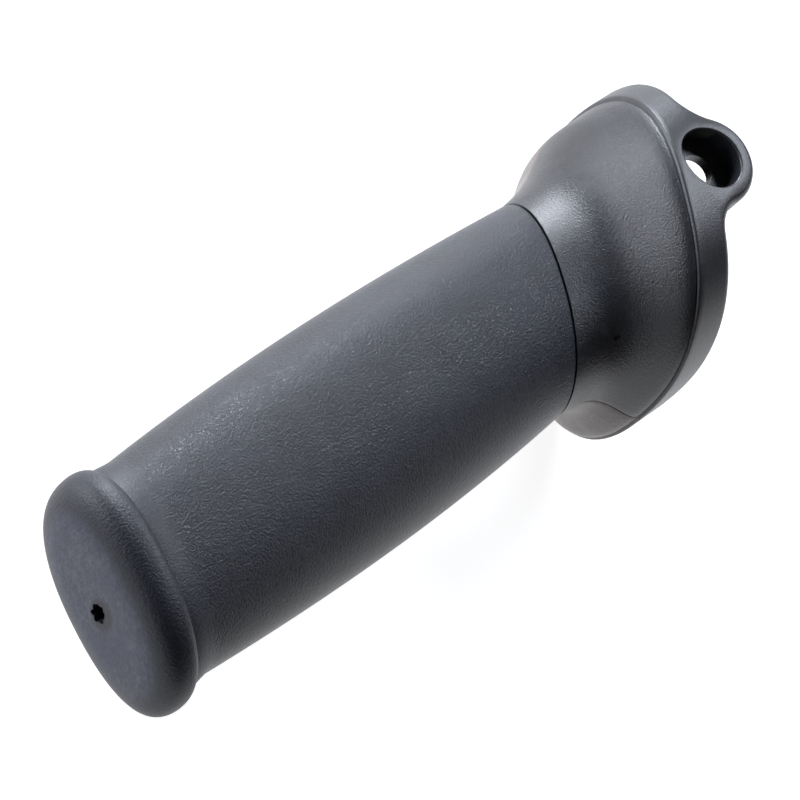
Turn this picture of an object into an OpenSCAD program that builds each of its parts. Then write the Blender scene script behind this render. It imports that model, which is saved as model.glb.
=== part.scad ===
// Brush cutter handle: two moulded half shells with a flared head and a screw
// lug, held by two screws, and a soft grip sleeve over their core.
// X runs along the grip from the head to the end cap, Y across it and Z up.
// The shells part on Z = 0. The origin is where the tube axis meets the mouth.

/* [Head] */
// Half width of the collar at the parting line
collar_w = 24.25; // [22:0.1:27]
// Offset of the collar across the grip
collar_shift = 0.6; // [-1:0.1:1]
// Half height of the collar
collar_h = 27.2; // [25:0.1:29]
// Length of the collar along the grip, from the mouth to the crease
collar_len = 7.9; // [6:0.1:9.5]
// Angle of the mouth across the grip
mouth_slant = 27; // [20:0.5:34]
// Angle of the crease across the grip
head_slant = 30; // [20:0.5:34]
// Angle of the seam with the sleeve across the grip
seam_slant = 27; // [20:0.5:34]
// Rounding of the mouth edge
mouth_round = 1.2; // [0.5:0.1:2]
// Depth of the crease between the flare and the collar
crease_depth = 0.5; // [0.2:0.1:1]
// How far the flare stays below the collar
flare_under = 0.5; // [0.3:0.1:1.2]
// Length of the head from the mouth to the seam with the sleeve
head_len = 27.5; // [26:0.1:31]
// Distance of the shoulder from the mouth on the short side
shoulder_right = 14.2; // [8.6:0.1:16]
// How late the flare rises from the neck on the short side
right_bend = 3.9; // [1.5:0.1:5]
// Distance of the shoulder from the mouth on the long side
shoulder_left = 12.9; // [10:0.1:14]
// How straight the long side runs from the neck to the shoulder: 0 is a full curve
left_ease = 0.35; // [0:0.05:0.5]
// Distance of the shoulder from the mouth at the top
shoulder_top = 9.6; // [8.6:0.1:12]
// How late the flare rises from the neck at the top
top_bend = 2.5; // [1.5:0.1:3]
// Roundness of the head's section on the rear half: 2 is an ellipse
rear_round = 2.1; // [2:0.05:2.6]
// Wall of the head around its hollow
head_wall = 2.8; // [2:0.1:3.5]
// Depth of the hollow in the mouth
hollow_depth = 14; // [10:0.5:15]
// Thickness of the ribs in the hollow
rib_t = 2; // [1.5:0.1:3]

/* [Lug] */
// Distance of the screw hole beyond the mouth, along the grip
lug_x = 2.2; // [1:0.1:4]
// Offset of the screw hole across the grip
lug_y = -2.5; // [-5:0.1:0]
// Outer radius of the lug
lug_r = 8.45; // [8:0.1:10]
// Thickness of the lug
lug_t = 6.8; // [6.4:0.1:9]
// Radius of the screw hole
lug_hole_r = 2.9; // [2.6:0.05:3.3]
// Radius of the counterbore
lug_cbore_r = 5.6; // [5:0.05:6.5]
// Depth of the counterbore
lug_cbore_d = 5; // [4:0.1:5.4]
// Radius of the fillet between the lug and the mouth edge
lug_fillet = 6; // [2:0.1:8]

/* [Handlebar seat] */
// Radius of the handlebar seat
seat_r = 11.1; // [10:0.05:11.5]
// Depth of the handlebar seat
seat_depth = 17; // [14:0.5:18]
// Wall of the seat inside the hollow
seat_wall = 2.6; // [2:0.1:3]

/* [Grip] */
// Length of the grip, from the seam to the rim of the end flange
grip_len = 101; // [90:0.1:120]
// Half width of the neck at the seam
neck_w = 17.1; // [16.5:0.1:18.5]
// Offset of the neck across the grip at the seam
neck_shift = -0.45; // [-1:0.05:1]
// Half height of the neck at the seam
neck_h = 11.9; // [11.5:0.1:13.5]
// Half width just before the end flange
tail_w = 17; // [16:0.1:18]
// Offset across the grip just before the end flange
tail_shift = 0.65; // [-1:0.05:1]
// Half height just before the end flange
tail_h = 10.2; // [9.5:0.1:11.5]
// Swell of the grip's half width at mid length
swell_w = 1.95; // [1:0.1:4]
// Swell of the grip's half height at mid length
swell_h = 1.8; // [1:0.1:4]
// Wall of the sleeve
sleeve_wall = 2.2; // [1.8:0.1:3]
// Clearance between the sleeve and the core
sleeve_gap = 0.1; // [0.05:0.05:0.2]
// Gap between the sleeve and the head at the seam
seam_gap = 0.3; // [0.2:0.05:0.5]

/* [End cap] */
// Angle of the end cap across the grip
cap_slant = 12; // [0:0.5:20]
// Half width of the end flange
flange_w = 19.4; // [18.5:0.1:22]
// Offset of the end flange across the grip
flange_shift = 0.8; // [-1:0.1:1.5]
// Half height of the end flange
flange_h = 12.2; // [11.8:0.1:15]
// Length of the rounded back of the flange, up to its rim
flange_back = 2.6; // [2:0.1:4]
// Length over which the grip runs out to the flange
flange_run = 6; // [4:0.5:9]
// Share of the flange's height that the run-out reaches
flange_foot = 0.35; // [0:0.05:0.5]
// Height of the pillowed end face over the flange rim
cap_rise = 5.2; // [4:0.1:6]
// Width of the turn from the flange rim to the flat of the end face
cap_turn = 7.5; // [5:0.1:9]
// Thickness of the end wall
end_wall = 4.5; // [3:0.1:6]
// Radius of the vent hole
vent_r = 0.7; // [0.5:0.05:1]
// Place of the vent hole across and up the end face
vent_y = 1.5; // [-4:0.1:4]
vent_z = 0; // [-3:0.1:3]

/* [Screws] */
// Radius of the screw shank
screw_r = 1.75; // [1.5:0.05:2]
// Radius of the screw head
screw_head_r = 3.2; // [2.8:0.1:3.4]
// Height of the screw head
screw_head_h = 2; // [1.5:0.1:2.5]
// Length of the screw under its head
screw_len = 13; // [10:0.5:14]
// Clearance around the shank and the head
screw_gap = 0.15; // [0.1:0.05:0.3]
// Depth of the screw seat below the parting plane
screw_seat = 6; // [5:0.1:6.5]
// Distance of the neck screw from the mouth
neck_screw_x = 22.4; // [22:0.1:23]
// Distance of the core screw before the end cap plane
core_screw_back = 16; // [12:0.5:30]

/* [Hidden] */
// Points round a section, and stations along the flare and the grip
section_n = 48;
flare_n = 12;
grip_n = 12;
core_n = 6;
// Roundness of the head's and the grip's sections: 2 is an ellipse
head_round = 2.5;
grip_round = 2.25;
end_x = head_len + grip_len;
core_end = end_x + cap_rise - end_wall;
core_screw_x = end_x - core_screw_back;
lug_at = [-lug_x, lug_y];
// How far the lug reaches back under the collar
lug_root = collar_len - mouth_round - 1;
shell_black = [0.17, 0.17, 0.19];
rear_grey = [0.30, 0.29, 0.29];
sleeve_black = [0.12, 0.12, 0.14];

// A value between a and b, and a soft step from 0 to 1
function mix(a, b, t) = a + (b - a) * t;
function unit(t) = min(1, max(0, t));
function soft(t) = let (u = unit(t)) u * u * (3 - 2 * u);
function side_power(v, n) = sign(v) * pow(abs(v), 2 / n);

// One section: place on the axis, slant, half widths right and left, half height, roundness in front and at the rear
function section(x, slant, wr, wl, h, n, n_rear) = [
    for (i = [0 : section_n - 1])
        let (a = 360 * i / section_n,
             m = sin(a) >= 0 ? n : n_rear,
             y = (cos(a) >= 0 ? wr : wl) * side_power(cos(a), m),
             z = h * side_power(sin(a), m))
        [x + y * tan(slant), y, z]];

// Solid through a list of sections
module loft(sections) {
    n = len(sections[0]);
    k = len(sections);
    polyhedron(
        points = [for (s = sections) each s],
        faces = concat(
            [[for (i = [0 : n - 1]) i]],
            [for (j = [0 : k - 2]) for (i = [0 : n - 1]) let (m = (i + 1) % n)
                [j * n + i, (j + 1) * n + i, (j + 1) * n + m, j * n + m]],
            [[for (i = [n - 1 : -1 : 0]) (k - 1) * n + i]]),
        convexity = 6);
}

// How far the flare has opened at distance x from the mouth, for one shoulder
function flare(x, shoulder, bend = 2, ease = 0) = let (u = unit((head_len - x) / (head_len - shoulder)))
    mix(soft(pow(u, bend)), u, ease);
function flare_section(x, inset) = section(x, mix(seam_slant, head_slant, unit((head_len - x) / (head_len - collar_len))),
    mix(neck_w + neck_shift, collar_w + collar_shift - flare_under, flare(x, shoulder_right, right_bend)) - inset,
    mix(neck_w - neck_shift, collar_w - collar_shift - flare_under, flare(x, shoulder_left, 2, left_ease)) - inset,
    mix(neck_h, collar_h - flare_under, flare(x, shoulder_top, top_bend)) - inset,
    mix(grip_round, head_round, flare(x, shoulder_top)),
    mix(grip_round, rear_round, flare(x, shoulder_top)));
function collar_section(x, inset) = section(x, mix(mouth_slant, head_slant, unit(x / collar_len)),
    collar_w + collar_shift - inset, collar_w - collar_shift - inset, collar_h - inset, head_round, rear_round);

// Outside of the whole head, from the mouth to the seam
module head_outside() {
    loft(concat(
        [for (a = [90 : -30 : 0])
            collar_section(mouth_round * (1 - sin(a)), mouth_round * (1 - cos(a)))],
        [collar_section(collar_len - 0.6, 0),
         collar_section(collar_len, crease_depth)],
        [for (i = [0 : flare_n])
            flare_section(mix(collar_len + 0.7, head_len, i / flare_n), 0)]));
}

// The grip's half width and half height at u, from 0 at the seam to 1 at the end
function barrel(a, b, swell, u) = mix(a, b, u) + swell * 4 * u * (1 - u);
// The grip's section at x: grow goes from 0, the barrel, to 1, the flange
function grip_section(x, grow, inset) = let (
    u = (x - head_len) / grip_len,
    wide = barrel(neck_w, tail_w, swell_w, u) + grow * (flange_w - tail_w) - inset,
    lean = mix(neck_shift * pow(1 - u, 4) + tail_shift * pow(u, 4), flange_shift, grow))
    section(x, mix(seam_slant, cap_slant, unit(u)), wide + lean, wide - lean,
        barrel(neck_h, tail_h, swell_h, u) + grow * (flange_h - tail_h) - inset,
        grip_round, grip_round);

// Core of the grip; the sleeve's inside is the same form with the clearance
module core_form(grow, from, to) {
    loft([for (i = [0 : core_n])
        grip_section(mix(from, to, i / core_n), 0, sleeve_wall - grow)]);
}

// Outline of the lug from above, with a fillet where it leaves the mouth edge
module lug_outline() {
    offset(r = -lug_fillet, $fn = 48) offset(r = lug_fillet, $fn = 48) {
        translate(lug_at) circle(r = lug_r, $fn = 64);
        rotate(-mouth_slant) translate([mouth_round, -collar_w * 0.8])
            square([lug_root, collar_w * 1.6]);
    }
}

// Lug before it is drilled: its face runs on from the top of the collar
module lug_body() {
    intersection() {
        loft([collar_section(-lug_x - lug_r - 8, 0), collar_section(collar_len - 0.6, 0)]);
        translate([0, 0, collar_h - lug_t]) linear_extrude(lug_t + 1) intersection() {
            lug_outline();
            translate([lug_at[0], lug_at[1]]) rotate(-mouth_slant) square(3.6 * lug_r, center = true);
        }
    }
}

module lug_holes() {
    translate([lug_at[0], lug_at[1], 0]) {
        translate([0, 0, collar_h - lug_t - 20]) cylinder(r = lug_hole_r, h = lug_t + 30, $fn = 64);
        translate([0, 0, collar_h - lug_cbore_d]) cylinder(r = lug_cbore_r, h = 20, $fn = 96);
    }
}

// Hollow in the mouth round the handlebar seat, crossed by ribs
module mouth_hollow() {
    difference() {
        loft([for (x = [-1, 2, 5, 8, 11, hollow_depth])
            x <= collar_len ? collar_section(x, head_wall) : flare_section(x, head_wall)]);
        rotate([0, 90, 0]) cylinder(r = seat_r + seat_wall, h = 3 * hollow_depth, center = true, $fn = 96);
        for (a = [30 : 60 : 330])
            rotate([a, 0, 0]) translate([2, 0, -rib_t / 2]) cube([40, 60, rib_t]);
    }
}

module handlebar_seat() {
    translate([-30, 0, 0]) rotate([0, 90, 0]) cylinder(r = seat_r, h = 30 + seat_depth, $fn = 96);
}

// Both shells in one, before they part
module shell_body() {
    difference() {
        union() {
            head_outside();
            core_form(0, head_len - 3, core_end - sleeve_gap);
        }
        mouth_hollow();
        handlebar_seat();
    }
}

module half_space(up) {
    translate([-100, -100, up ? 0 : -200]) cube([400, 200, 200]);
}

module screw(x) {
    translate([x, 0, 0]) {
        translate([0, 0, -screw_seat - screw_head_h]) cylinder(r = screw_head_r, h = screw_head_h, $fn = 48);
        translate([0, 0, -screw_seat - 0.01]) cylinder(r = screw_r, h = screw_len + 0.01, $fn = 48);
    }
}

module front_shell() {
    color(shell_black) difference() {
        union() {
            intersection() { shell_body(); half_space(true); }
            lug_body();
        }
        lug_holes();
        for (x = [neck_screw_x, core_screw_x])
            translate([x, 0, -1]) cylinder(r = screw_r + screw_gap, h = screw_len - screw_seat + 1.8, $fn = 48);
    }
}

module rear_shell() {
    color(rear_grey) difference() {
        intersection() { shell_body(); half_space(false); }
        for (x = [neck_screw_x, core_screw_x]) {
            translate([x, 0, -40]) cylinder(r = screw_head_r + screw_gap, h = 40 - screw_seat, $fn = 48);
            translate([x, 0, -40]) cylinder(r = screw_r + screw_gap, h = 50, $fn = 48);
        }
    }
}

// Outside of the sleeve: the barrel, its run-out, the flange and the domed end face
module grip_outside() {
    foot_x = end_x - flange_back - flange_run;
    loft(concat(
        [for (i = [0 : grip_n])
            grip_section(mix(head_len + seam_gap, foot_x, i / grip_n), 0, 0)],
        [for (t = [0.25 : 0.25 : 1])
            grip_section(foot_x + flange_run * t, flange_foot * soft(t), 0)],
        [for (a = [30 : 30 : 90])
            grip_section(end_x - flange_back * cos(a), mix(flange_foot, 1, sin(a)), 0)],
        [for (a = [15 : 15 : 90])
            grip_section(end_x + cap_rise * sin(a), 1, cap_turn * (1 - cos(a)))]));
}

module grip_sleeve() {
    color(sleeve_black) difference() {
        grip_outside();
        core_form(sleeve_gap, head_len - 1, core_end);
        translate([core_end, vent_y, vent_z]) rotate([0, 90, 0])
            cylinder(r = vent_r, h = 40, center = true, $fn = 32);
    }
}

module neck_screw() { color("silver") screw(neck_screw_x); }
module core_screw() { color("silver") screw(core_screw_x); }

front_shell();
rear_shell();
grip_sleeve();
neck_screw();
core_screw();
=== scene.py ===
# Brush cutter handle: smooth shells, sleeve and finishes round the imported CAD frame.
# Lengths are in metres, in the frame of the part: X along the grip, Y across it, Z up.

from math import atan2, cos, pi, radians, sin, sqrt, tan

import bmesh
import bpy
from mathutils import Euler, Matrix, Vector


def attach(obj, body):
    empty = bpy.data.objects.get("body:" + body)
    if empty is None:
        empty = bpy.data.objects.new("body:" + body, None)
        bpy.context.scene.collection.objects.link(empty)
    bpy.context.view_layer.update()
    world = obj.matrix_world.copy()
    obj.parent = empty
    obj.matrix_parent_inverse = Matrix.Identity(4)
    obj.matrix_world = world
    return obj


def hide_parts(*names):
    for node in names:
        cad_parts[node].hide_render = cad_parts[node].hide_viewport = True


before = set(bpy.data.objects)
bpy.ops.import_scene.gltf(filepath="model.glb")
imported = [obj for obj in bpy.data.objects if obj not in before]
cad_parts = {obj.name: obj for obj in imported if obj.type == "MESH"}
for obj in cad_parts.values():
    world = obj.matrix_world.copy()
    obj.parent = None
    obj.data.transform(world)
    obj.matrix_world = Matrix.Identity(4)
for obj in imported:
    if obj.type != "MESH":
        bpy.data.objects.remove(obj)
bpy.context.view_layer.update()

bl_info = {
    "name": "Brush cutter handle",
    "version": (1, 0, 0),
    "blender": (4, 5, 0),
    "location": "3D View > Sidebar > Handle",
    "description": "Builds the shells, the grip sleeve and the finishes of a brush cutter handle",
    "category": "Add Mesh",
}

MM = 0.001

# Fineness of the meshes
RING_POINTS = 96
FLARE_ROWS = 26
CORE_ROWS = 8
SLEEVE_ROWS = 34
LIP_STEPS = 5
RUN_STEPS = 8
BACK_STEPS = 9
CAP_STEPS = 14
SEAT_POINTS = 96
BORE_POINTS = 72
SCREW_POINTS = 48
FILLET_STEPS = 16
LUG_STEPS = 48
BAND_FILLET_STEPS = 10
BAND_LUG_STEPS = 44
SHARP = radians(30)

# Rows along X in millimetres: the collar's and the hollow's count from the mouth, and the crease's,
# which come with their depths, from the crease
COLLAR_STOPS = (-24, 1.5, 4, 6.4)
HOLLOW_STOPS = (-14, 2, 5, 8, 11)
CREASE_EDGE = ((-0.6, 0.0), (-0.42, 0.04), (-0.26, 0.16), (-0.12, 0.36), (0.0, 0.66))
CREASE_FOOT = ((0.12, 0.16), (0.3, 0.02))
CREASE_END = 0.7

# How far the cutters reach beyond what they cut
BAND_OVER = 0.35 * MM
BAND_CREST = 1.2 * MM
THROUGH = 40 * MM
ACROSS = 60 * MM
FAR = 80 * MM

# The solid root of the lug in the hollow, the counterbore's rim, and where the parting edge starts
ROOT_SIDES = (-17.5 * MM, 12.8 * MM)
ROOT_DEPTH = 6.9 * MM
BORE_ROUND = 0.4 * MM
PARTING_FROM = 14 * MM

# The slit in the front shell
SLIT_PLACE = Vector((25.26, 12.05, 11.51)) * MM
SLIT_REACH = Vector((-0.4, -0.04, 0.38)) * MM
SLIT_RADIUS = 0.4 * MM

# The torn vent: which corners of its outline are drawn in, as first, step and size
VENT_POINTS = 14
VENT_DENTS = ((0, 2, 0.64), (1, 4, 0.86))


def mix(a, b, t):
    return a + (b - a) * t


def unit(t):
    return min(1.0, max(0.0, t))


def soft(t):
    t = unit(t)
    return t * t * (3 - 2 * t)


# Sizes and finishes


def length(name, description, millimetres):
    """A size that a user would change, given in millimetres and kept in metres."""
    return bpy.props.FloatProperty(
        name=name,
        description=description,
        default=millimetres * MM,
        unit="LENGTH",
        subtype="DISTANCE",
        precision=5,
    )


def angle(name, description, degrees):
    """An angle that a user would change, given in degrees and kept in radians."""
    return bpy.props.FloatProperty(
        name=name,
        description=description,
        default=radians(degrees),
        unit="ROTATION",
        subtype="ANGLE",
    )


def colour(name, description, value):
    """A colour in linear light, opaque."""
    return bpy.props.FloatVectorProperty(
        name=name,
        description=description,
        default=(*value, 1.0),
        size=4,
        subtype="COLOR",
        min=0.0,
        max=1.0,
    )


def amount(name, description, value, top=1.0):
    """A share or an exponent, from nothing to its top."""
    return bpy.props.FloatProperty(
        name=name, description=description, default=value, min=0.0, max=top, subtype="FACTOR"
    )


def light_power(name, description, value):
    """A lamp's power or the room's light."""
    return bpy.props.FloatProperty(name=name, description=description, default=value)


class HandleHead(bpy.types.PropertyGroup):
    """Sizes of the flared head."""

    collar_w: length("Collar half width", "Half width of the collar", 24.25)
    collar_shift: length("Collar shift", "Offset of the collar across the grip", 0.6)
    collar_h: length("Collar half height", "Half height of the collar", 27.2)
    collar_len: length("Collar length", "From the mouth to the crease", 7.9)
    mouth_slant: angle("Mouth slant", "Angle of the mouth across the grip", 27)
    head_slant: angle("Head slant", "Angle of the crease across the grip", 30)
    seam_slant: angle("Seam slant", "Angle of the seam with the sleeve", 27)
    mouth_round: length("Mouth rounding", "Rounding of the edge of the mouth and the lug", 1.2)
    flare_under: length("Flare step", "How far the flare stays below the collar", 0.5)
    head_len: length("Head length", "From the mouth to the seam with the sleeve", 27.5)
    shoulder_right: length("Right shoulder", "Shoulder's distance on the short side", 7.4)
    shoulder_left: length("Left shoulder", "Shoulder's distance on the long side", 12.9)
    shoulder_top: length("Top shoulder", "Shoulder's distance at the top", 8.0)
    right_bend: amount("Right bend", "How late the short side flares", 1.85, 8)
    top_bend: amount("Top bend", "How late the top flares", 2.1, 8)
    top_ease: amount("Top ease", "How straight the top runs", 0.3)
    left_ease: amount("Left ease", "How straight the long side runs", 0.35)
    front_round: amount("Front roundness", "Section's power on the front half", 2.5, 4)
    rear_round: amount("Rear roundness", "Section's power on the rear half", 2.3, 4)
    wall: length("Head wall", "Wall round the hollow", 2.8)
    hollow_depth: length("Hollow depth", "Depth of the hollow in the mouth", 14)
    rib: length("Rib thickness", "Thickness of the ribs in the hollow", 2)
    lug_x: length("Lug distance", "Screw hole's distance beyond the mouth", 2.2)
    lug_y: length("Lug offset", "Screw hole's offset across the grip", -2.5)
    lug_r: length("Lug radius", "Outer radius of the lug", 8.45)
    lug_t: length("Lug thickness", "Thickness of the lug", 6.8)
    lug_hole_r: length("Hole radius", "Radius of the screw hole", 2.9)
    lug_cbore_r: length("Counterbore radius", "Radius of the counterbore", 5.6)
    lug_cbore_d: length("Counterbore depth", "Depth of the counterbore", 5)
    lug_fillet: length("Lug fillet", "Fillet between the lug and the mouth edge", 6)
    seat_r: length("Seat radius", "Radius of the handlebar seat", 11.1)
    seat_depth: length("Seat depth", "Depth of the handlebar seat", 17)
    seat_wall: length("Seat wall", "Wall of the seat in the hollow", 2.6)
    screw_r: length("Screw radius", "Radius of the screw shank", 1.75)
    screw_head_r: length("Screw head radius", "Radius of the screw head", 3.2)
    screw_len: length("Screw length", "Length under the head", 13)
    screw_gap: length("Screw clearance", "Clearance round the screw", 0.15)
    screw_seat: length("Screw seat", "Depth of the screw seat", 6)
    neck_screw_x: length("Neck screw", "Neck screw's distance from the mouth", 22.4)
    core_screw_back: length("Core screw", "Core screw's distance before the cap", 16)
    parting: length("Parting edge", "Width of the soft edge at the parting line", 0.3)


class HandleGrip(bpy.types.PropertyGroup):
    """Sizes of the grip, its sleeve and the end cap."""

    grip_len: length("Grip length", "From the seam to the flange rim", 101)
    neck_w: length("Neck half width", "Half width at the seam", 17.1)
    neck_shift: length("Neck shift", "Offset across the grip at the seam", -0.45)
    neck_h: length("Neck half height", "Half height at the seam", 11.9)
    tail_w: length("Tail half width", "Half width before the flange", 17)
    tail_shift: length("Tail shift", "Offset before the flange", 0.65)
    tail_h: length("Tail half height", "Half height before the flange", 10.2)
    swell_w: length("Width swell", "Swell of the half width at mid length", 1.95)
    swell_h: length("Height swell", "Swell of the half height at mid length", 1.8)
    roundness: amount("Roundness", "Section's power: 2 is an ellipse", 2.25, 4)
    sleeve_wall: length("Sleeve wall", "Wall of the sleeve", 2.2)
    sleeve_gap: length("Sleeve clearance", "Clearance between sleeve and core", 0.1)
    seam_gap: length("Seam gap", "Gap between the sleeve and the head", 0.3)
    lip: length("Lip rounding", "Rounding of the sleeve's edge at the seam", 0.45)
    cap_slant: angle("Cap slant", "Angle of the end cap across the grip", 12)
    flange_w: length("Flange half width", "Half width of the end flange", 19.4)
    flange_shift: length("Flange shift", "Offset of the end flange", 0.8)
    flange_h: length("Flange half height", "Half height of the end flange", 12.2)
    flange_back: length("Flange back", "Length of the flange's rounded back", 2.6)
    flange_run: length("Flange run", "Length of the run-out to the flange", 6)
    flange_foot: amount("Flange foot", "Share that the run-out reaches", 0.35)
    cap_rise: length("Cap rise", "Height of the end face over the rim", 5.04)
    cap_crown: amount("Cap crown", "How round the turn is: 1 is an ellipse, less is flatter", 0.84)
    cap_turn: length("Cap turn", "Width of the turn to the end face", 7.5)
    end_wall: length("End wall", "Thickness of the end wall", 4.5)
    vent_r: length("Vent radius", "Reach of the torn vent's tips", 2.0)
    vent_y: length("Vent offset", "Place of the vent hole across the face", 1.4)
    vent_z: length("Vent height", "Place of the vent hole above the middle", -0.6)


class HandleFinish(bpy.types.PropertyGroup):
    """Colours and surface of the handle's plastics."""

    head_colour: colour("Head colour", "Colour of the front shell", (0.016, 0.0175, 0.023))
    # Lighter and warmer than the front shell: partly the rear shell's own tone, partly painted light bounced
    # up from the floor.
    rear_colour_and_bounce_light: colour("Rear colour", "Colour of the rear shell", (0.190, 0.154, 0.143))
    sleeve_colour: colour("Sleeve colour", "Colour of the soft sleeve", (0.022, 0.025, 0.037))
    screw_colour: colour("Screw colour", "Colour of the plated screws", (0.62, 0.62, 0.64))
    grain: length("Grain", "Size of the sleeve's leathery grain", 0.4)
    spark: length("Spark finish", "Size of the shells' fine grain", 0.36)


class HandleStudio(bpy.types.PropertyGroup):
    """Light of the studio."""

    key: light_power("Key lamp", "Power of the lamp over the long side", 8.0)
    back: light_power("Back lamp", "Power of the lamp behind the head", 3.0)
    side: light_power("Side lamp", "Power of the low lamp beside the cap", 3.5)
    world: light_power("World", "Strength of the dim room", 0.05)
    floor: colour("Floor colour", "Colour of the floor", (0.60, 0.60, 0.60))
    glow: amount("Floor glow", "White added to the floor where it is seen", 0.85)


# Modelling steps


def clear_selection():
    if bpy.context.mode != "OBJECT":
        bpy.ops.object.mode_set(mode="OBJECT")
    bpy.ops.object.select_all(action="DESELECT")


def only(piece):
    clear_selection()
    piece.select_set(True)
    bpy.context.view_layer.objects.active = piece


def into_edit(piece, kind="VERT"):
    only(piece)
    bpy.ops.object.mode_set(mode="EDIT")
    bpy.ops.mesh.select_mode(type=kind)


def named(name):
    piece = bpy.context.view_layer.objects.active
    piece.name = name
    piece.data.name = name
    return piece


def empty_mesh(name):
    """A new piece in edit mode, still without a vertex."""
    clear_selection()
    bpy.ops.mesh.primitive_plane_add(size=1)
    piece = named(name)
    into_edit(piece)
    bpy.ops.mesh.select_all(action="SELECT")
    bpy.ops.mesh.delete(type="VERT")
    bmesh.from_edit_mesh(piece.data).verts.layers.int.new("ring")
    return piece


def pick_verts(piece, test):
    """Selects the vertices in edit mode whose ring number and place pass the test."""
    mesh = bmesh.from_edit_mesh(piece.data)
    rings = mesh.verts.layers.int["ring"]
    for vert in mesh.verts:
        vert.select = False
    mesh.select_flush(False)
    for vert in mesh.verts:
        vert.select = test(vert[rings], vert.co)
    mesh.select_flush(True)
    bmesh.update_edit_mesh(piece.data)


def add_ring(piece, section, number):
    """One oval ring: a square whose corners are rounded into each other, stretched to its section."""
    x, slant, right, left, height, front, rear = section
    bpy.ops.mesh.select_all(action="DESELECT")
    bpy.ops.mesh.primitive_plane_add(size=2, rotation=(0, pi / 2, -slant))
    for side, power in ((1, front), (-1, rear)):
        pick_verts(piece, lambda ring, co: ring == 0 and co.z * side > 0.999)
        bpy.ops.mesh.bevel(
            offset=1,
            offset_type="OFFSET",
            segments=RING_POINTS // 4,
            profile=2 ** (-2 / power),
            affect="VERTICES",
            clamp_overlap=False,
        )
    pick_verts(piece, lambda ring, co: ring == 0)
    bpy.ops.mesh.remove_doubles(threshold=1e-4)
    bpy.ops.mesh.delete(type="ONLY_FACE")
    for side, width in ((1, right), (-1, left)):
        pick_verts(piece, lambda ring, co: ring == 0 and co.y * side > 1e-6)
        stretch = width / cos(slant)
        bpy.ops.transform.resize(value=(stretch, stretch, 1), center_override=(0, 0, 0))
    pick_verts(piece, lambda ring, co: ring == 0)
    bpy.ops.transform.resize(value=(1, 1, height), center_override=(0, 0, 0))
    bpy.ops.transform.translate(value=(x, 0, 0))
    mesh = bmesh.from_edit_mesh(piece.data)
    rings = mesh.verts.layers.int["ring"]
    for vert in mesh.verts:
        if vert[rings] == 0:
            vert[rings] = number


def loft(name, sections):
    """A closed piece through a row of rings, bridged one by one and filled at both ends."""
    piece = empty_mesh(name)
    count = len(sections)
    for number, section in enumerate(sections, 1):
        add_ring(piece, section, number)
    for number in range(1, count):
        pick_verts(piece, lambda ring, co: ring in (number, number + 1))
        bpy.ops.mesh.bridge_edge_loops(type="SINGLE")
    for number in (1, count):
        pick_verts(piece, lambda ring, co: ring == number)
        bpy.ops.mesh.edge_face_add()
    bpy.ops.mesh.select_all(action="SELECT")
    bpy.ops.mesh.normals_make_consistent(inside=False)
    bpy.ops.object.mode_set(mode="OBJECT")
    return piece


def block(name, low, high, turn=0.0, axis="Z"):
    """A box from its low corner to its high one, turned about an axis through the origin."""
    clear_selection()
    middle = Vector((a + b) / 2 for a, b in zip(low, high))
    angles = Euler([turn if axis == letter else 0.0 for letter in "XYZ"])
    bpy.ops.mesh.primitive_cube_add(
        size=1,
        location=angles.to_matrix() @ middle,
        rotation=angles,
        scale=[b - a for a, b in zip(low, high)],
    )
    bpy.ops.object.transform_apply(location=True, rotation=True, scale=True)
    return named(name)


def bar(name, radius, start, end, points=64):
    """A round bar between two points."""
    clear_selection()
    start, end = Vector(start), Vector(end)
    run = end - start
    bpy.ops.mesh.primitive_cylinder_add(
        vertices=points,
        radius=radius,
        depth=run.length,
        location=(start + end) / 2,
        rotation=run.to_track_quat("Z", "Y").to_euler(),
    )
    bpy.ops.object.transform_apply(location=True, rotation=True, scale=True)
    return named(name)


def cut(piece, tool, operation="DIFFERENCE"):
    """Cuts, joins or crosses a piece with a tool, which is used up."""
    only(piece)
    step = piece.modifiers.new("Cut", "BOOLEAN")
    step.operation = operation
    step.object = tool
    step.solver = "EXACT"
    bpy.ops.object.modifier_apply(modifier=step.name)
    mesh = tool.data
    bpy.data.objects.remove(tool)
    bpy.data.meshes.remove(mesh)


def copy_of(piece, name):
    clear_selection()
    twin = piece.copy()
    twin.data = piece.data.copy()
    twin.name = name
    twin.data.name = name
    bpy.context.scene.collection.objects.link(twin)
    return twin


def pick_edges(piece, test):
    """Selects the edges in edit mode that pass the test, and counts them."""
    mesh = bmesh.from_edit_mesh(piece.data)
    bpy.ops.mesh.select_all(action="DESELECT")
    count = 0
    for edge in mesh.edges:
        if len(edge.link_faces) == 2 and test(edge):
            edge.select_set(True)
            count += 1
    bmesh.update_edit_mesh(piece.data)
    return count


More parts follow.
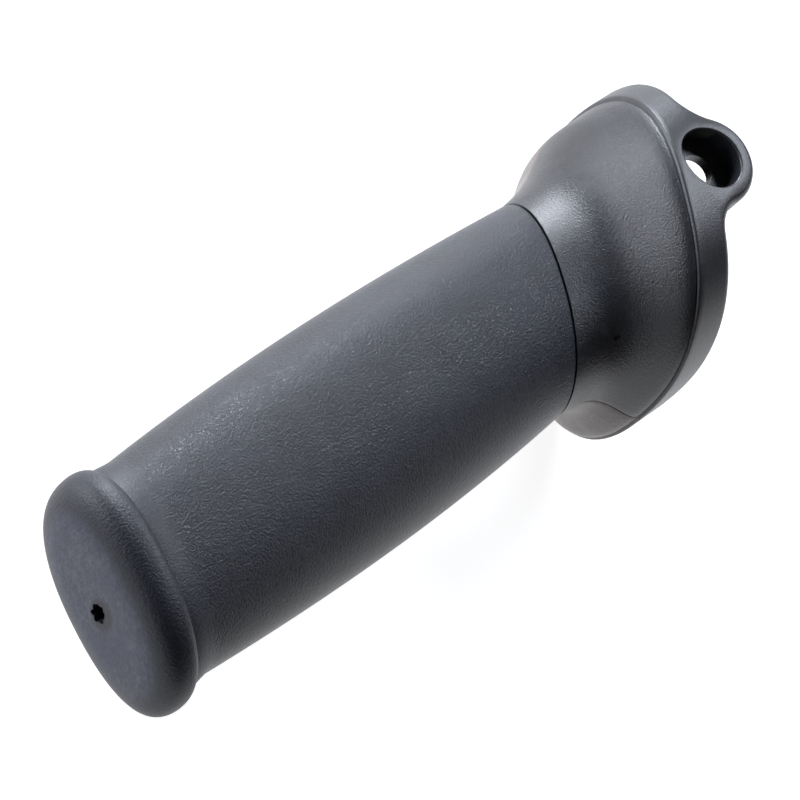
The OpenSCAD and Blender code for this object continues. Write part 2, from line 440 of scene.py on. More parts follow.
def rounding_band(name, path, radius, steps=5):
    """A closed band along an edge that takes its corner off.

    Each stop on the path gives the place, the normal of the outer face and the normal of the wall.
    """
    mesh = bmesh.new()
    rings = []
    tip = tan(pi / 4 / steps)
    for k, (place, face, wall) in enumerate(path):
        run = (path[(k + 1) % len(path)][0] - path[k - 1][0]).normalized()
        along_face = face.cross(run)
        along_face *= -1 if along_face.dot(wall) > 0 else 1
        along_wall = wall.cross(run)
        along_wall *= -1 if along_wall.dot(face) > 0 else 1
        along_face.normalize()
        along_wall.normalize()
        ring = [place + (face + wall).normalized() * BAND_CREST]
        ring.append(place + along_face * (radius + BAND_OVER) + face * BAND_OVER * tip)
        for j in range(1, steps):
            turn = pi / 2 * j / steps
            inward = along_face * radius * (1 - sin(turn))
            ring.append(place + inward + along_wall * radius * (1 - cos(turn)))
        ring.append(place + along_wall * (radius + BAND_OVER) + wall * BAND_OVER * tip)
        rings.append([mesh.verts.new(co) for co in ring])
    for k, ring in enumerate(rings):
        after = rings[(k + 1) % len(rings)]
        for i in range(len(ring)):
            j = (i + 1) % len(ring)
            mesh.faces.new((ring[i], ring[j], after[j], after[i]))
    bmesh.ops.recalc_face_normals(mesh, faces=mesh.faces)
    data = bpy.data.meshes.new(name)
    mesh.to_mesh(data)
    mesh.free()
    piece = bpy.data.objects.new(name, data)
    bpy.context.scene.collection.objects.link(piece)
    return piece


def finish_piece(piece, material, slot, *nodes):
    """Smooth shading, the finish, and the ties to the frame."""
    only(piece)
    bpy.ops.object.shade_smooth_by_angle(angle=SHARP)
    layer = piece.data.attributes.get("ring")
    if layer:
        piece.data.attributes.remove(layer)
    piece.data.materials.clear()
    piece.data.materials.append(material)
    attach(piece, "root")
    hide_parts(*nodes)


# Forms of the head and the grip, as rows of sections


def flare(head, x, shoulder, bend=2.0, ease=0.0):
    """How far the flare has opened at x, for one shoulder."""
    u = unit((head.head_len - x) / (head.head_len - shoulder))
    return mix(soft(u**bend), u, ease)


def flare_section(head, grip, x, inset=0.0):
    """The flare at x: slant, half widths to the right and the left, half height, front and rear power."""
    back = unit((head.head_len - x) / (head.head_len - head.collar_len))
    wide = head.collar_w - head.flare_under
    high = head.collar_h - head.flare_under
    right = flare(head, x, head.shoulder_right, head.right_bend)
    left = flare(head, x, head.shoulder_left, 2, head.left_ease)
    top = flare(head, x, head.shoulder_top, head.top_bend, head.top_ease)
    open_top = flare(head, x, head.shoulder_top)
    return (
        x,
        mix(head.seam_slant, head.head_slant, back),
        mix(grip.neck_w + grip.neck_shift, wide + head.collar_shift, right) - inset,
        mix(grip.neck_w - grip.neck_shift, wide - head.collar_shift, left) - inset,
        mix(grip.neck_h, high, top) - inset,
        mix(grip.roundness, head.front_round, open_top),
        mix(grip.roundness, head.rear_round, open_top),
    )


def collar_section(head, x, inset=0.0):
    """The collar at x; its slant turns from the mouth's to the crease's."""
    return (
        x,
        mix(head.mouth_slant, head.head_slant, unit(x / head.collar_len)),
        head.collar_w + head.collar_shift - inset,
        head.collar_w - head.collar_shift - inset,
        head.collar_h - inset,
        head.front_round,
        head.rear_round,
    )


def grip_section(head, grip, x, grow=0.0, inset=0.0):
    """The grip at x: grow goes from 0, the barrel, to 1, the flange."""
    u = (x - head.head_len) / grip.grip_len
    swell = 4 * u * (1 - u)
    width = mix(grip.neck_w, grip.tail_w, u) + grip.swell_w * swell
    width = width + grow * (grip.flange_w - grip.tail_w) - inset
    height = mix(grip.neck_h, grip.tail_h, u) + grip.swell_h * swell
    height = height + grow * (grip.flange_h - grip.tail_h) - inset
    lean = mix(grip.neck_shift * (1 - u) ** 4 + grip.tail_shift * u**4, grip.flange_shift, grow)
    return (
        x,
        mix(head.seam_slant, grip.cap_slant, unit(u)),
        width + lean,
        width - lean,
        height,
        grip.roundness,
        grip.roundness,
    )


def on_collar(head, y, z_up=True):
    """The collar's height and outward normal at y, in front or at the rear."""
    wide = head.collar_w + (head.collar_shift if y >= 0 else -head.collar_shift)
    power = head.front_round if z_up else head.rear_round
    share = min(0.9999, abs(y) / wide)
    z = head.collar_h * (1 - share**power) ** (1 / power)
    normal = Vector(
        (
            0,
            (1 if y >= 0 else -1) * share ** (power - 1) / wide,
            (z / head.collar_h) ** (power - 1) / head.collar_h,
        )
    ).normalized()
    if not z_up:
        z, normal.z = -z, -normal.z
    return z, normal


def core_rows(head, grip, gap, start, end, count):
    """Rows of the core, or of the sleeve's inside when a gap is left round it."""
    return [
        grip_section(head, grip, mix(start, end, i / count), 0.0, grip.sleeve_wall - gap)
        for i in range(count + 1)
    ]


def lug_plan(head):
    """The lug's outline over the mouth edge: its corners, arc centres and turns."""
    out = Vector((-cos(head.mouth_slant), sin(head.mouth_slant), 0))
    along = Vector((sin(head.mouth_slant), cos(head.mouth_slant), 0))
    centre = Vector((-head.lug_x, head.lug_y, 0))
    beyond = centre.dot(out)
    side = sqrt((head.lug_r + head.lug_fillet) ** 2 - (head.lug_fillet - beyond) ** 2)
    foot = centre - out * beyond
    fillets = [foot + along * k * side + out * head.lug_fillet for k in (-1, 1)]
    turn = pi / 2 + atan2(beyond - head.lug_fillet, side)
    return out, along, centre, foot, side, fillets, turn


def lug_column(head):
    """A column with the lug's outline, from its lower face to above the collar, drawn by turning a point."""
    out, along, centre, foot, side, fillets, turn = lug_plan(head)
    piece = empty_mesh("lug_column")
    bpy.ops.mesh.primitive_plane_add(size=1)
    bpy.ops.mesh.merge(type="CENTER")
    low = Vector((0, 0, head.collar_h - head.lug_t))
    bpy.ops.transform.translate(value=foot - along * side + low)
    bpy.ops.mesh.spin(steps=FILLET_STEPS, angle=-turn, center=fillets[0], axis=(0, 0, 1))
    bpy.ops.mesh.spin(steps=LUG_STEPS, angle=2 * turn, center=centre, axis=(0, 0, 1))
    bpy.ops.mesh.spin(steps=FILLET_STEPS, angle=-turn, center=fillets[1], axis=(0, 0, 1))
    bpy.ops.mesh.extrude_region_move(TRANSFORM_OT_translate={"value": out * -6 * MM})
    bpy.ops.mesh.extrude_region_move(TRANSFORM_OT_translate={"value": along * -2 * side})
    bpy.ops.mesh.select_all(action="SELECT")
    bpy.ops.mesh.remove_doubles(threshold=1e-6)
    bpy.ops.mesh.edge_face_add()
    bpy.ops.mesh.extrude_region_move(TRANSFORM_OT_translate={"value": (0, 0, 20 * MM)})
    bpy.ops.mesh.select_all(action="SELECT")
    bpy.ops.mesh.normals_make_consistent(inside=False)
    bpy.ops.object.mode_set(mode="OBJECT")
    return piece


def mouth_edge(head):
    """Stops round the edge of the mouth and the lug, each with the normals of its two faces."""
    out, along, centre, foot, side, fillets, turn = lug_plan(head)
    reach = foot.dot(along)
    path = []
    for i in range(RING_POINTS):
        a = 2 * pi * (i + 0.5) / RING_POINTS + pi / 2
        up = sin(a) >= 0
        power = head.front_round if up else head.rear_round
        wide = head.collar_w + (head.collar_shift if cos(a) >= 0 else -head.collar_shift)
        y = (1 if cos(a) >= 0 else -1) * wide * abs(cos(a)) ** (2 / power)
        if up and abs(y / cos(head.mouth_slant) - reach) < side + 0.4 * MM:
            continue
        z, normal = on_collar(head, y, up)
        path.append((Vector((y * tan(head.mouth_slant), y, z)), normal, out))
    lug = []
    for centre_of_arc, radius, first, sweep, steps, sign in (
        (fillets[0], head.lug_fillet, -pi / 2, turn, BAND_FILLET_STEPS, -1),
        (centre, head.lug_r, pi / 2 + turn, -2 * turn, BAND_LUG_STEPS, 1),
        (fillets[1], head.lug_fillet, pi * 1.5 - turn, turn, BAND_FILLET_STEPS, -1),
    ):
        for k in range(steps + (sign < 0)):
            a = first + sweep * (k + (0.5 if sign > 0 else 0)) / steps
            ray = along * cos(a) + out * sin(a)
            spot = centre_of_arc + ray * radius
            z, normal = on_collar(head, spot.y)
            lug.append((Vector((spot.x, spot.y, z)), normal, ray * sign))
    gap = max(range(len(path)), key=lambda k: (path[k][0] - path[k - 1][0]).length)
    path = path[gap:] + path[:gap]
    if (path[-1][0] - lug[0][0]).length > (path[-1][0] - lug[-1][0]).length:
        lug.reverse()
    return path + lug


def bore_edge(head):
    """Stops round the counterbore's rim."""
    path = []
    for i in range(BORE_POINTS):
        a = 2 * pi * (i + 0.5) / BORE_POINTS
        ray = Vector((cos(a), sin(a), 0))
        spot = Vector((-head.lug_x, head.lug_y, 0)) + ray * head.lug_cbore_r
        z, normal = on_collar(head, spot.y)
        path.append((Vector((spot.x, spot.y, z)), normal, -ray))
    return path


# The pieces


def head_form(head, grip):
    """The whole head with its core: the collar runs on past the mouth until the lug is cut from it."""
    core_end = head.head_len + grip.grip_len + grip.cap_rise - grip.end_wall
    rows = [collar_section(head, x * MM) for x in COLLAR_STOPS]
    for stop, depth in CREASE_EDGE:
        rows.append(collar_section(head, head.collar_len + stop * MM, depth * MM))
    for stop, depth in CREASE_FOOT:
        rows.append(flare_section(head, grip, head.collar_len + stop * MM, depth * MM))
    first = head.collar_len + CREASE_END * MM
    for i in range(FLARE_ROWS + 1):
        rows.append(flare_section(head, grip, mix(first, head.head_len, i / FLARE_ROWS)))
    rows.append(grip_section(head, grip, head.head_len + 0.15 * MM, 0.0, grip.sleeve_wall))
    rows += core_rows(head, grip, 0.0, head.head_len + 4 * MM, core_end - grip.sleeve_gap, CORE_ROWS)
    return loft("head", rows)


def hollow_form(head, grip):
    """What is cut from the mouth: the hollow without the seat's wall, the ribs and the lug's root."""
    rows = []
    for x in (*HOLLOW_STOPS, head.hollow_depth / MM):
        x *= MM
        if x <= head.collar_len:
            rows.append(collar_section(head, x, head.wall))
        else:
            rows.append(flare_section(head, grip, x, head.wall))
    hollow = loft("hollow", rows)
    boss = head.seat_r + head.seat_wall
    cut(hollow, bar("boss", boss, (-ACROSS, 0, 0), (ACROSS, 0, 0), SEAT_POINTS))
    half = head.rib / 2
    for k in range(3):
        low = (2 * MM, -ACROSS, -half)
        high = (ACROSS, ACROSS, half)
        cut(hollow, block("rib", low, high, radians(30 + 60 * k), "X"))
    low = (-30 * MM, ROOT_SIDES[0], head.collar_h - head.lug_t)
    high = (ROOT_DEPTH, ROOT_SIDES[1], ACROSS)
    cut(hollow, block("root", low, high, -head.mouth_slant))
    return hollow


def round_parting(piece, head):
    """A soft outer edge along the parting line."""
    into_edit(piece, "EDGE")

    def on_parting(edge):
        if any(abs(vert.co.z) > 1e-6 for vert in edge.verts):
            return False
        y = (edge.verts[0].co.y + edge.verts[1].co.y) / 2
        walls = [face for face in edge.link_faces if abs(face.normal.z) < 0.9]
        if abs(y) <= PARTING_FROM or len(walls) != 1:
            return False
        facing = walls[0].normal.y
        return facing * y > 0 and abs(facing) > 0.5

    if pick_edges(piece, on_parting):
        bpy.ops.mesh.bevel(offset=head.parting, offset_type="OFFSET", segments=2, profile=0.5, affect="EDGES")
    bpy.ops.object.mode_set(mode="OBJECT")


def property_groups(context):
    """The sizes of the head and the grip, and the finishes."""
    scene = context.scene
    return scene.handle_head, scene.handle_grip, scene.handle_finish


class HANDLE_OT_head(bpy.types.Operator):
    """Build the flared head's two shells round the CAD frame"""

    bl_idname = "object.handle_head"
    bl_label = "Build the head shells"

    def execute(self, context):
        head, grip, finish = property_groups(context)
        whole = head_form(head, grip)
        beyond = block("beyond", (-FAR, -FAR, -FAR), (0, FAR, FAR), -head.mouth_slant)
        cut(beyond, lug_column(head))
        cut(whole, beyond)
        cut(whole, rounding_band("mouth_band", mouth_edge(head), head.mouth_round))
        cut(whole, hollow_form(head, grip))
        cut(whole, bar("seat", head.seat_r, (-THROUGH, 0, 0), (head.seat_depth, 0, 0), SEAT_POINTS))
        spot = Vector((-head.lug_x, head.lug_y, 0))
        up = Vector((0, 0, 1))
        floor = head.collar_h - head.lug_cbore_d
        cut(whole, bar("bore", head.lug_cbore_r, spot + up * floor, spot + up * THROUGH, BORE_POINTS))
        cut(whole, bar("hole", head.lug_hole_r, spot + up * (floor - 12 * MM), spot + up * THROUGH))
        cut(whole, rounding_band("bore_band", bore_edge(head), BORE_ROUND, 4))
        rear = copy_of(whole, "rear_shell_body")
        cut(rear, block("half", (-FAR, -FAR, -FAR), (4 * FAR, FAR, 0)), "INTERSECT")
        cut(whole, block("half", (-FAR, -FAR, 0), (4 * FAR, FAR, FAR)), "INTERSECT")
        whole.name = whole.data.name = "front_shell_body"
        core_screw_x = head.head_len + grip.grip_len - head.core_screw_back
        pilot = head.screw_r + head.screw_gap
        pilot_end = head.screw_len - head.screw_seat + 0.8 * MM
        counterbore = head.screw_head_r + head.screw_gap
        for x in (head.neck_screw_x, core_screw_x):
            place = Vector((x, 0, 0))
            seat = place - up * head.screw_seat
            cut(whole, bar("pilot", pilot, place - up * MM, place + up * pilot_end, SCREW_POINTS))
            cut(rear, bar("hole", pilot, place - up * 12 * MM, place + up * 2 * MM, SCREW_POINTS))
            cut(rear, bar("bore", counterbore, place - up * THROUGH, seat, SCREW_POINTS))
        for piece in (whole, rear):
            round_parting(piece, head)
        cut(whole, bar("slit", SLIT_RADIUS, SLIT_PLACE - SLIT_REACH, SLIT_PLACE + SLIT_REACH, 12))
        front_plastic = shell_material("front_plastic", head, finish, finish.head_colour, 0.0)
        # The rear shell's base colour carries painted floor bounce light besides its own tone.
        rear_plastic_with_bounce = shell_material("rear_plastic_with_bounce", head, finish, finish.rear_colour_and_bounce_light, 1.0)
        finish_piece(whole, front_plastic, "front_shell", "front_shell")
        finish_piece(rear, rear_plastic_with_bounce, "rear_shell", "rear_shell")
        return {"FINISHED"}


class HANDLE_OT_grip(bpy.types.Operator):
    """Build the grip sleeve with its end cap"""

    bl_idname = "object.handle_grip"
    bl_label = "Build the grip sleeve"

    def execute(self, context):
        head, grip, finish = property_groups(context)
        end_x = head.head_len + grip.grip_len
        core_end = end_x + grip.cap_rise - grip.end_wall
        seam = head.head_len + grip.seam_gap
        foot = end_x - grip.flange_back - grip.flange_run
        rows = core_rows(head, grip, grip.sleeve_gap, core_end, seam + 0.2 * MM, 10)
        for i in reversed(range(LIP_STEPS + 1)):
            a = pi / 2 * i / LIP_STEPS
            inset = grip.lip * (1 - cos(a))
            rows.append(grip_section(head, grip, seam + grip.lip * (1 - sin(a)), 0.0, inset))
        first = seam + grip.lip
        for i in range(1, SLEEVE_ROWS + 1):
            rows.append(grip_section(head, grip, mix(first, foot, i / SLEEVE_ROWS)))
        for i in range(1, RUN_STEPS + 1):
            t = i / RUN_STEPS
            rows.append(grip_section(head, grip, foot + grip.flange_run * t, grip.flange_foot * soft(t)))
        for i in range(1, BACK_STEPS + 1):
            a = pi / 2 * i / BACK_STEPS
            grow = mix(grip.flange_foot, 1.0, sin(a))
            rows.append(grip_section(head, grip, end_x - grip.flange_back * cos(a), grow))
        for i in range(1, CAP_STEPS + 1):
            a = pi / 2 * i / CAP_STEPS
            rise = sin(a) ** grip.cap_crown
            turn = cos(a) ** grip.cap_crown if i < CAP_STEPS else 0.0
            inset = grip.cap_turn * (1 - turn)
            rows.append(grip_section(head, grip, end_x + grip.cap_rise * rise, 1.0, inset))
        sleeve = loft("sleeve", rows)
        cut(sleeve, vent_tool(grip, core_end))
        finish_piece(sleeve, sleeve_material(head, grip, finish), "sleeve", "grip_sleeve")
        return {"FINISHED"}


def vent_tool(grip, core_end):
    """A torn, roughly star-shaped hole in the end face."""
    place = Vector((core_end - 2 * MM, grip.vent_y, grip.vent_z))
    piece = bar("vent", grip.vent_r, place, place + Vector((14 * MM, 0, 0)), VENT_POINTS)
    for first, step, size in VENT_DENTS:
        into_edit(piece)
        bpy.ops.mesh.select_all(action="DESELECT")
        mesh = bmesh.from_edit_mesh(piece.data)
        for vert in mesh.verts:
            turn = atan2(vert.co.z - place.z, vert.co.y - place.y) / (2 * pi)
            vert.select = round(turn * VENT_POINTS) % step == first
        mesh.select_flush(True)
        bmesh.update_edit_mesh(piece.data)
        bpy.ops.transform.resize(value=(1, size, size), center_override=place)
        bpy.ops.object.mode_set(mode="OBJECT")
    return piece


class HANDLE_OT_screws(bpy.types.Operator):
    """Give the two screws of the frame their plated finish"""

    bl_idname = "object.handle_screws"
    bl_label = "Finish the screws"

    def execute(self, context):
        metal = screw_material(context.scene.handle_finish)
        for name in ("neck_screw", "core_screw"):
            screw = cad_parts[name]
            screw.data.materials.clear()
            screw.data.materials.append(metal)
        return {"FINISHED"}


# Finishes


class Graph:
    """A material's node graph, written as calls."""

    def __init__(self, name):
        self.material = bpy.data.materials.new(name)
        self.material.use_nodes = True
        self.tree = self.material.node_tree
        self.shader = self.tree.nodes["Principled BSDF"]
        self.place = self.add("ShaderNodeTexCoord").outputs["Object"]

    def add(self, kind, **settings):
        node = self.tree.nodes.new(kind)
        for name, value in settings.items():
            setattr(node, name, value)
        return node

    def put(self, socket, value):
        if isinstance(value, bpy.types.NodeSocket):
            self.tree.links.new(value, socket)
        else:
            socket.default_value = value

    def noise(self, size, detail=2.0, rough=0.5, shift=0.0):
        """Noise with features of about the given size in metres."""
        node = self.add("ShaderNodeTexNoise")
        moved = self.add("ShaderNodeMapping")
        self.put(moved.inputs["Vector"], self.place)
        moved.inputs["Location"].default_value = (shift, shift * 0.7, shift * 1.3)
        self.put(node.inputs["Vector"], moved.outputs["Vector"])
        node.inputs["Scale"].default_value = 1 / size
        node.inputs["Detail"].default_value = detail
        node.inputs["Roughness"].default_value = rough
        return node.outputs["Fac"]

    def along(self, direction):
        """The distance from the origin along a direction."""
        node = self.add("ShaderNodeVectorMath", operation="DOT_PRODUCT")
        self.put(node.inputs[0], self.place)
        node.inputs[1].default_value = direction
        return node.outputs["Value"]

    def away(self, point):
        """The distance from a point."""
        node = self.add("ShaderNodeVectorMath", operation="DISTANCE")
        self.put(node.inputs[0], self.place)
        node.inputs[1].default_value = point
        return node.outputs["Value"]

    def remap(self, value, low, high, to_low=0.0, to_high=1.0):
        node = self.add("ShaderNodeMapRange")
        node.interpolation_type = "SMOOTHSTEP"
        self.put(node.inputs["Value"], value)
        for name, number in (("From Min", low), ("From Max", high), ("To Min", to_low), ("To Max", to_high)):
            node.inputs[name].default_value = number
        return node.outputs["Result"]

    def maths(self, operation, a, b):
        node = self.add("ShaderNodeMath", operation=operation)
        self.put(node.inputs[0], a)
        self.put(node.inputs[1], b)
        return node.outputs[0]

    def blend(self, share, a, b):
        node = self.add("ShaderNodeMix", data_type="RGBA")
        self.put(node.inputs["Factor"], share)
        self.put(node.inputs["A"], a)
        self.put(node.inputs["B"], b)
        return node.outputs["Result"]

    def bump(self, height, distance):
        node = self.add("ShaderNodeBump")
        self.put(node.inputs["Height"], height)
        node.inputs["Distance"].default_value = distance
        return node.outputs["Normal"]


def times(colour_value, factor):
    return (*(min(1.0, c * factor) for c in colour_value[:3]), 1.0)


def shell_material(name, head, finish, base, worn):
    """Spark-eroded black plastic, smoother on the collar, with a pale bloom of dust."""
    graph = Graph(name)
    past_crease = graph.along((1, -tan(head.head_slant), 0))
    dome = graph.remap(past_crease, head.collar_len - MM, head.collar_len + 2 * MM)
    cloud = graph.remap(graph.noise(6 * MM, 4, 0.6, worn), 0.35, 0.68)
    speck = graph.remap(graph.noise(0.6 * MM, 3, 0.7, 0.2 + worn), 0.52, 0.72)
    tint = graph.blend(cloud, times(base, 0.8), times(base, 1.3))
    bloom = graph.remap(graph.noise(3.2 * MM, 5, 0.7, 0.6 + worn), 0.52, 0.72)
    tint = graph.blend(graph.maths("MULTIPLY", bloom, 0.6), tint, times(base, mix(3.2, 1.7, worn)))
    tint = graph.blend(graph.maths("MULTIPLY", speck, 0.5), tint, times(base, mix(3.0, 1.7, worn)))
    graph.put(graph.shader.inputs["Base Color"], tint)
    graph.put(graph.shader.inputs["Roughness"], graph.remap(dome, 0.0, 1.0, 0.4, 0.34))
    height = graph.remap(graph.noise(finish.spark, 3, 0.6, 0.3), 0.3, 0.7)
    height = graph.maths("MULTIPLY", height, graph.remap(dome, 0.0, 1.0, 0.4, 1.0))
    graph.put(graph.shader.inputs["Normal"], graph.bump(height, 0.032 * MM))
    graph.shader.inputs["Specular IOR Level"].default_value = 0.85
    return graph.material


def sleeve_material(head, grip, finish):
    """Soft black elastomer: a leathery grain on the grip, a smoother cap, pale scuffs and dust, and an end
    face made lighter by dust and by painted light reflected from the floor.
    """
    graph = Graph("soft_sleeve")
    base = finish.sleeve_colour
    end_x = head.head_len + grip.grip_len
    rim = end_x - grip.flange_back - grip.flange_run
    top = end_x + grip.cap_rise
    past_seam = graph.along((1, -tan(grip.cap_slant), 0))
    grip_part = graph.remap(past_seam, rim, rim + 4 * MM, 1.0, 0.0)
    cloud = graph.remap(graph.noise(9 * MM, 4, 0.6, 0.4), 0.35, 0.68)
    speck = graph.remap(graph.noise(0.55 * MM, 3, 0.7, 0.9), 0.56, 0.74)
    barrel = graph.blend(cloud, times(base, 0.85), times(base, 1.2))
    powder = graph.remap(graph.noise(1.1 * MM, 5, 0.75, 0.7), 0.38, 0.66)
    # The end face's lighter, warmer tone: partly dust, partly painted light reflected up from the floor.
    dust_and_floor_light = graph.blend(cloud, times(base, 4.5), (base[0] * 8.0, base[1] * 7.3, base[2] * 6.0, 1.0))
    dust_and_floor_light = graph.blend(powder, times(base, 3.0), dust_and_floor_light)
    face = graph.remap(past_seam, top - 0.9 * MM, top)
    tint = graph.blend(face, barrel, dust_and_floor_light)
    tint = graph.blend(graph.maths("MULTIPLY", speck, 0.6), tint, times(base, 3.6))
    # Darker round the torn vent, centred a little off the hole towards +Y and +Z.
    vent = (top, grip.vent_y + 0.5 * MM, grip.vent_z + 0.6 * MM)
    torn = graph.remap(graph.away(vent), 2 * MM, 3.2 * MM)
    tint = graph.blend(torn, times(base, 0.7), tint)
    graph.put(graph.shader.inputs["Base Color"], tint)
    graph.put(graph.shader.inputs["Roughness"], graph.remap(grip_part, 0.0, 1.0, 0.44, 0.36))
    leather = graph.remap(graph.noise(finish.grain, 3, 0.6, 0.1), 0.32, 0.66)
    height = graph.maths("MULTIPLY", leather, graph.remap(grip_part, 0.0, 1.0, 0.45, 1.0))
    graph.put(graph.shader.inputs["Normal"], graph.bump(height, 0.07 * MM))
    graph.shader.inputs["Specular IOR Level"].default_value = 0.57
    return graph.material


def screw_material(finish):
    """Zinc plate with a faint cloud."""
    graph = Graph("zinc_plate")
    cloud = graph.remap(graph.noise(1.5 * MM, 3, 0.6), 0.3, 0.7)
    tint = graph.blend(cloud, times(finish.screw_colour, 0.9), times(finish.screw_colour, 1.05))
    graph.put(graph.shader.inputs["Base Color"], tint)
    graph.put(graph.shader.inputs["Roughness"], graph.remap(cloud, 0.0, 1.0, 0.28, 0.4))
    graph.shader.inputs["Metallic"].default_value = 1.0
    return graph.material


# The stage

CAMERA_RIGHT = Vector((-0.63536561, 0.60198321, 0.48365975))
CAMERA_UP = Vector((-0.42402603, -0.79543200, 0.43300100))
CAMERA_BACK = Vector((0.64537777, 0.07002962, 0.76064669))
CAMERA_PLACE = Vector((0.54418, 0.05224, 0.56955))
CAMERA_SENSOR = 36
CAMERA_LENS = 208.8

HANDLE_MIDDLE = Vector((60 * MM, 0, 0))
HANDLE_BOTTOM = -27.25 * MM
LAMP_DISTANCE = 0.9
LAMP_SIZE = 0.3
FLOOR_SIZE = 6
COOL = (0.86, 0.905, 1.0)


def area_light(name, direction, power):
    """A cool soft box that looks at the middle of the handle from a direction."""
    clear_selection()
    ray = Vector(direction).normalized()
    place = HANDLE_MIDDLE + ray * LAMP_DISTANCE
    turn = ray.to_track_quat("Z", "Y").to_euler()
    bpy.ops.object.light_add(type="AREA", location=place, rotation=turn)
    light = bpy.context.view_layer.objects.active
    light.name = name
    light.data.name = name
    light.data.shape = "DISK"
    light.data.size = LAMP_SIZE
    light.data.energy = power
    light.data.color = COOL


class HANDLE_OT_stage(bpy.types.Operator):
    """Set the floor, the lights and the camera"""

    bl_idname = "object.handle_stage"
    bl_label = "Set the stage"

    def execute(self, context):
        studio = context.scene.handle_studio
        clear_selection()
        bpy.ops.object.camera_add()
        camera = bpy.context.view_layer.objects.active
        camera.name = "camera"
        axes = Matrix((CAMERA_RIGHT, CAMERA_UP, CAMERA_BACK)).transposed().to_4x4()
        camera.matrix_world = Matrix.Translation(CAMERA_PLACE) @ axes
        camera.data.sensor_width = CAMERA_SENSOR
        camera.data.lens = CAMERA_LENS
        camera.data.clip_start = 0.01
        context.scene.camera = camera

        clear_selection()
        bpy.ops.mesh.primitive_plane_add(size=FLOOR_SIZE, location=(0, 0, HANDLE_BOTTOM))
        floor = named("floor")
        floor.data.materials.append(floor_material(studio.floor, studio.glow))

        area_light("key", (-0.45, -0.79, 0.42), studio.key)
        area_light("back", (-0.70, -0.12, 0.71), studio.back)
        area_light("side", (0.34, -0.93, 0.14), studio.side)

        context.scene.world = studio_world(studio.world)
        context.scene.view_settings.view_transform = "Standard"
        return {"FINISHED"}


def seen_rays(tree):
    """Two sockets: 1 for camera rays, and 1 for camera, glossy and transmission rays."""
    path = tree.nodes.new("ShaderNodeLightPath")
    total = path.outputs["Is Camera Ray"]
    for name in ("Is Glossy Ray", "Is Transmission Ray"):
        most = tree.nodes.new("ShaderNodeMath")
        most.operation = "MAXIMUM"
        tree.links.new(total, most.inputs[0])
        tree.links.new(path.outputs[name], most.inputs[1])
        total = most.outputs[0]
    return path.outputs["Is Camera Ray"], total


def studio_world(strength):
    """A dim room over a white sweep: the sweep is seen up to a little over the horizon."""
    world = bpy.data.worlds.new("studio")
    world.use_nodes = True
    tree = world.node_tree
    room = tree.nodes["Background"]
    room.inputs["Color"].default_value = (1, 1, 1, 1)
    room.inputs["Strength"].default_value = strength
    sweep = tree.nodes.new("ShaderNodeBackground")
    sweep.inputs["Color"].default_value = (1, 1, 1, 1)
    sweep.inputs["Strength"].default_value = 1.0
    camera, seen = seen_rays(tree)
    place = tree.nodes.new("ShaderNodeTexCoord")
    parts = tree.nodes.new("ShaderNodeSeparateXYZ")
    tree.links.new(place.outputs["Generated"], parts.inputs[0])
    height = tree.nodes.new("ShaderNodeMapRange")
    height.inputs["From Min"].default_value = 0.3
    height.inputs["From Max"].default_value = 0.1
    tree.links.new(parts.outputs["Z"], height.inputs["Value"])
    low = tree.nodes.new("ShaderNodeMath")
    low.operation = "MULTIPLY"
    tree.links.new(height.outputs["Result"], low.inputs[0])
    tree.links.new(seen, low.inputs[1])
    share = tree.nodes.new("ShaderNodeMath")
    share.operation = "MAXIMUM"
    tree.links.new(low.outputs[0], share.inputs[0])
    tree.links.new(camera, share.inputs[1])
    choose = tree.nodes.new("ShaderNodeMixShader")
    tree.links.new(share.outputs[0], choose.inputs["Fac"])
    tree.links.new(room.outputs[0], choose.inputs[1])
    tree.links.new(sweep.outputs[0], choose.inputs[2])
    tree.links.new(choose.outputs[0], tree.nodes["World Output"].inputs["Surface"])
    return world


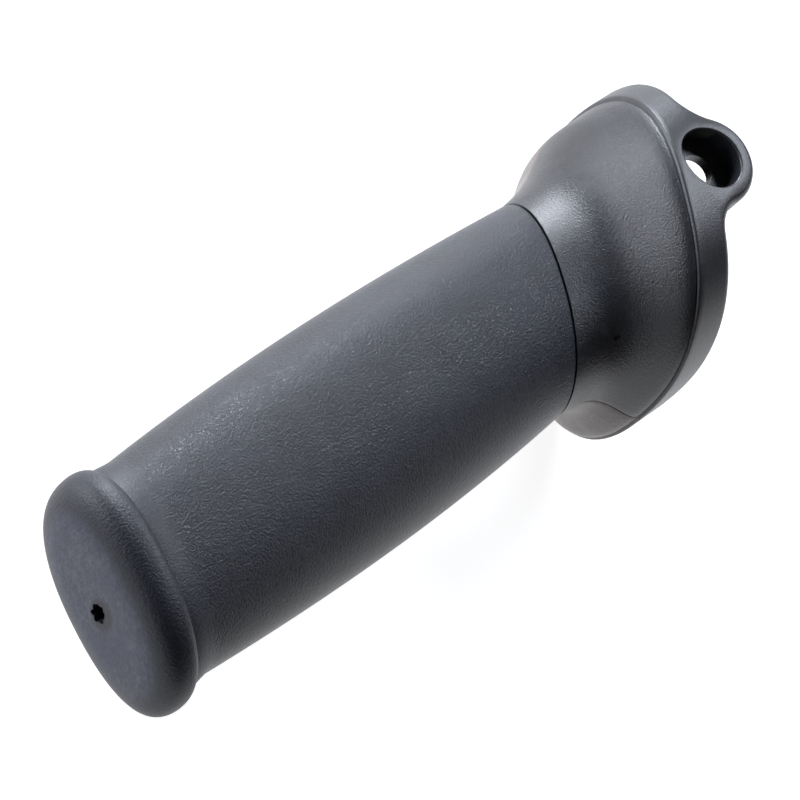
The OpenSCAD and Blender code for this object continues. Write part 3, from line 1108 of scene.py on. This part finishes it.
def floor_material(tint, glow):
    """A white floor that shows white where it is lit and keeps the object's soft shadow."""
    graph = Graph("floor_white")
    shader = graph.shader
    shader.inputs["Base Color"].default_value = tint
    shader.inputs["Roughness"].default_value = 0.9
    shader.inputs["Specular IOR Level"].default_value = 0.1
    shine = graph.add("ShaderNodeEmission")
    shine.inputs["Color"].default_value = (1, 1, 1, 1)
    shine.inputs["Strength"].default_value = glow
    seen = seen_rays(graph.tree)[1]
    bare = graph.add("ShaderNodeEmission")
    bare.inputs["Strength"].default_value = 0.0
    lit = graph.add("ShaderNodeMixShader")
    graph.put(lit.inputs["Fac"], seen)
    graph.tree.links.new(bare.outputs[0], lit.inputs[1])
    graph.tree.links.new(shine.outputs[0], lit.inputs[2])
    both = graph.add("ShaderNodeAddShader")
    graph.tree.links.new(shader.outputs[0], both.inputs[0])
    graph.tree.links.new(lit.outputs[0], both.inputs[1])
    graph.tree.links.new(both.outputs[0], graph.tree.nodes["Material Output"].inputs["Surface"])
    return graph.material


class HANDLE_PT_panel(bpy.types.Panel):
    """Buttons for the handle's pieces and its stage"""

    bl_idname = "HANDLE_PT_panel"
    bl_label = "Brush cutter handle"
    bl_space_type = "VIEW_3D"
    bl_region_type = "UI"
    bl_category = "Handle"

    def draw(self, context):
        for operator in OPERATORS:
            self.layout.operator(operator.bl_idname)
        for name in GROUPS:
            group = getattr(context.scene, name)
            column = self.layout.column()
            for key in group.__annotations__:
                column.prop(group, key)


GROUPS = {
    "handle_head": HandleHead,
    "handle_grip": HandleGrip,
    "handle_finish": HandleFinish,
    "handle_studio": HandleStudio,
}
OPERATORS = (HANDLE_OT_head, HANDLE_OT_grip, HANDLE_OT_screws, HANDLE_OT_stage)


def register():
    for name, group in GROUPS.items():
        bpy.utils.register_class(group)
        setattr(bpy.types.Scene, name, bpy.props.PointerProperty(type=group))
    for operator in OPERATORS:
        bpy.utils.register_class(operator)
    bpy.utils.register_class(HANDLE_PT_panel)


def unregister():
    bpy.utils.unregister_class(HANDLE_PT_panel)
    for operator in reversed(OPERATORS):
        bpy.utils.unregister_class(operator)
    for name, group in GROUPS.items():
        delattr(bpy.types.Scene, name)
        bpy.utils.unregister_class(group)


def main():
    register()
    bpy.ops.object.handle_head()
    bpy.ops.object.handle_grip()
    bpy.ops.object.handle_screws()
    bpy.ops.object.handle_stage()
    clear_selection()


if __name__ == "__main__":
    main()
